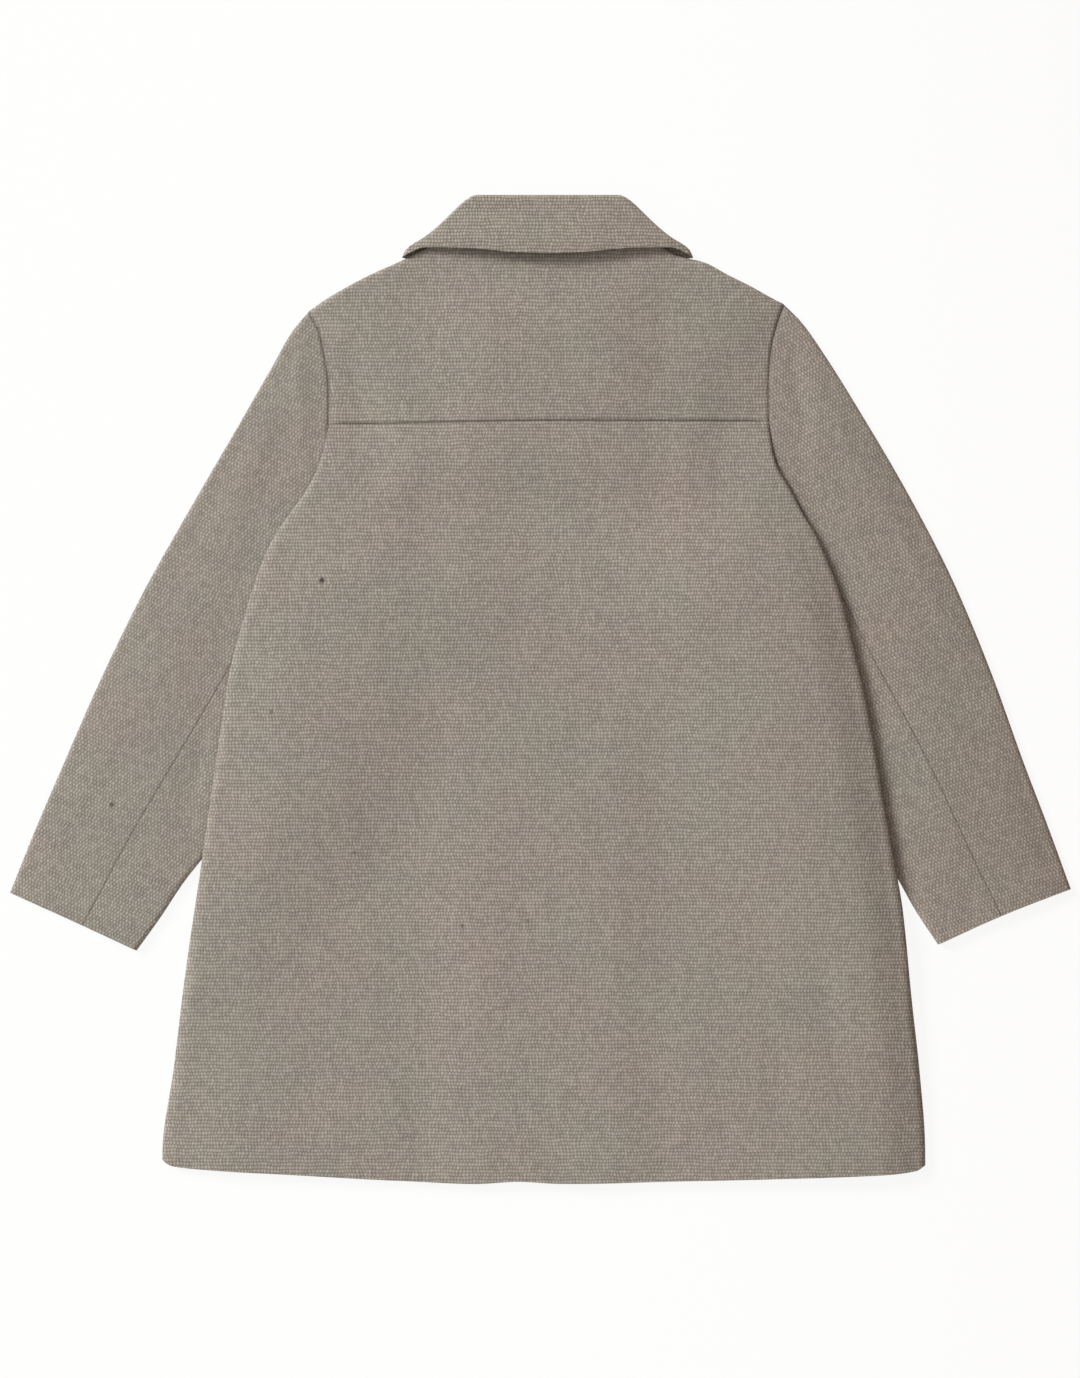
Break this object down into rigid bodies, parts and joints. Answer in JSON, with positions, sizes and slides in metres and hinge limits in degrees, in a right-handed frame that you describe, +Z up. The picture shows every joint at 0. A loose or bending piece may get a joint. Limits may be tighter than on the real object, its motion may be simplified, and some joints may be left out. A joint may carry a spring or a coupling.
{
  "type": "overcoat",
  "caption": "Thigh-length A-line overcoat in coarse basket-weave wool with a folded shirt collar, a straight back yoke and set-in two-piece sleeves, laid flat face down.",
  "frame": {"origin": "middle of the coat's outline at the surface it lies on", "axes": "+Z up out of the back panel, +Y towards the collar, -Y towards the hem, +X towards the wearer's right sleeve"},
  "size_m": [0.9772, 0.9092, 0.0143],
  "materials": {
    "coat_wool": "coarse basket-weave wool in warm grey-beige, matt with a dry woollen nap",
    "collar_wool": "the same basket-weave wool, turned out double for the collar"
  },
  "bodies": {
    "root": {"back_yoke": "coat_wool", "back": "coat_wool", "front_left": "coat_wool", "front_right": "coat_wool", "sleeve_top_left": "coat_wool", "sleeve_top_right": "coat_wool", "sleeve_under_left": "coat_wool", "sleeve_under_right": "coat_wool", "collar_fall": "collar_wool", "collar_stand": "collar_wool"}
  },
  "joints": []
}
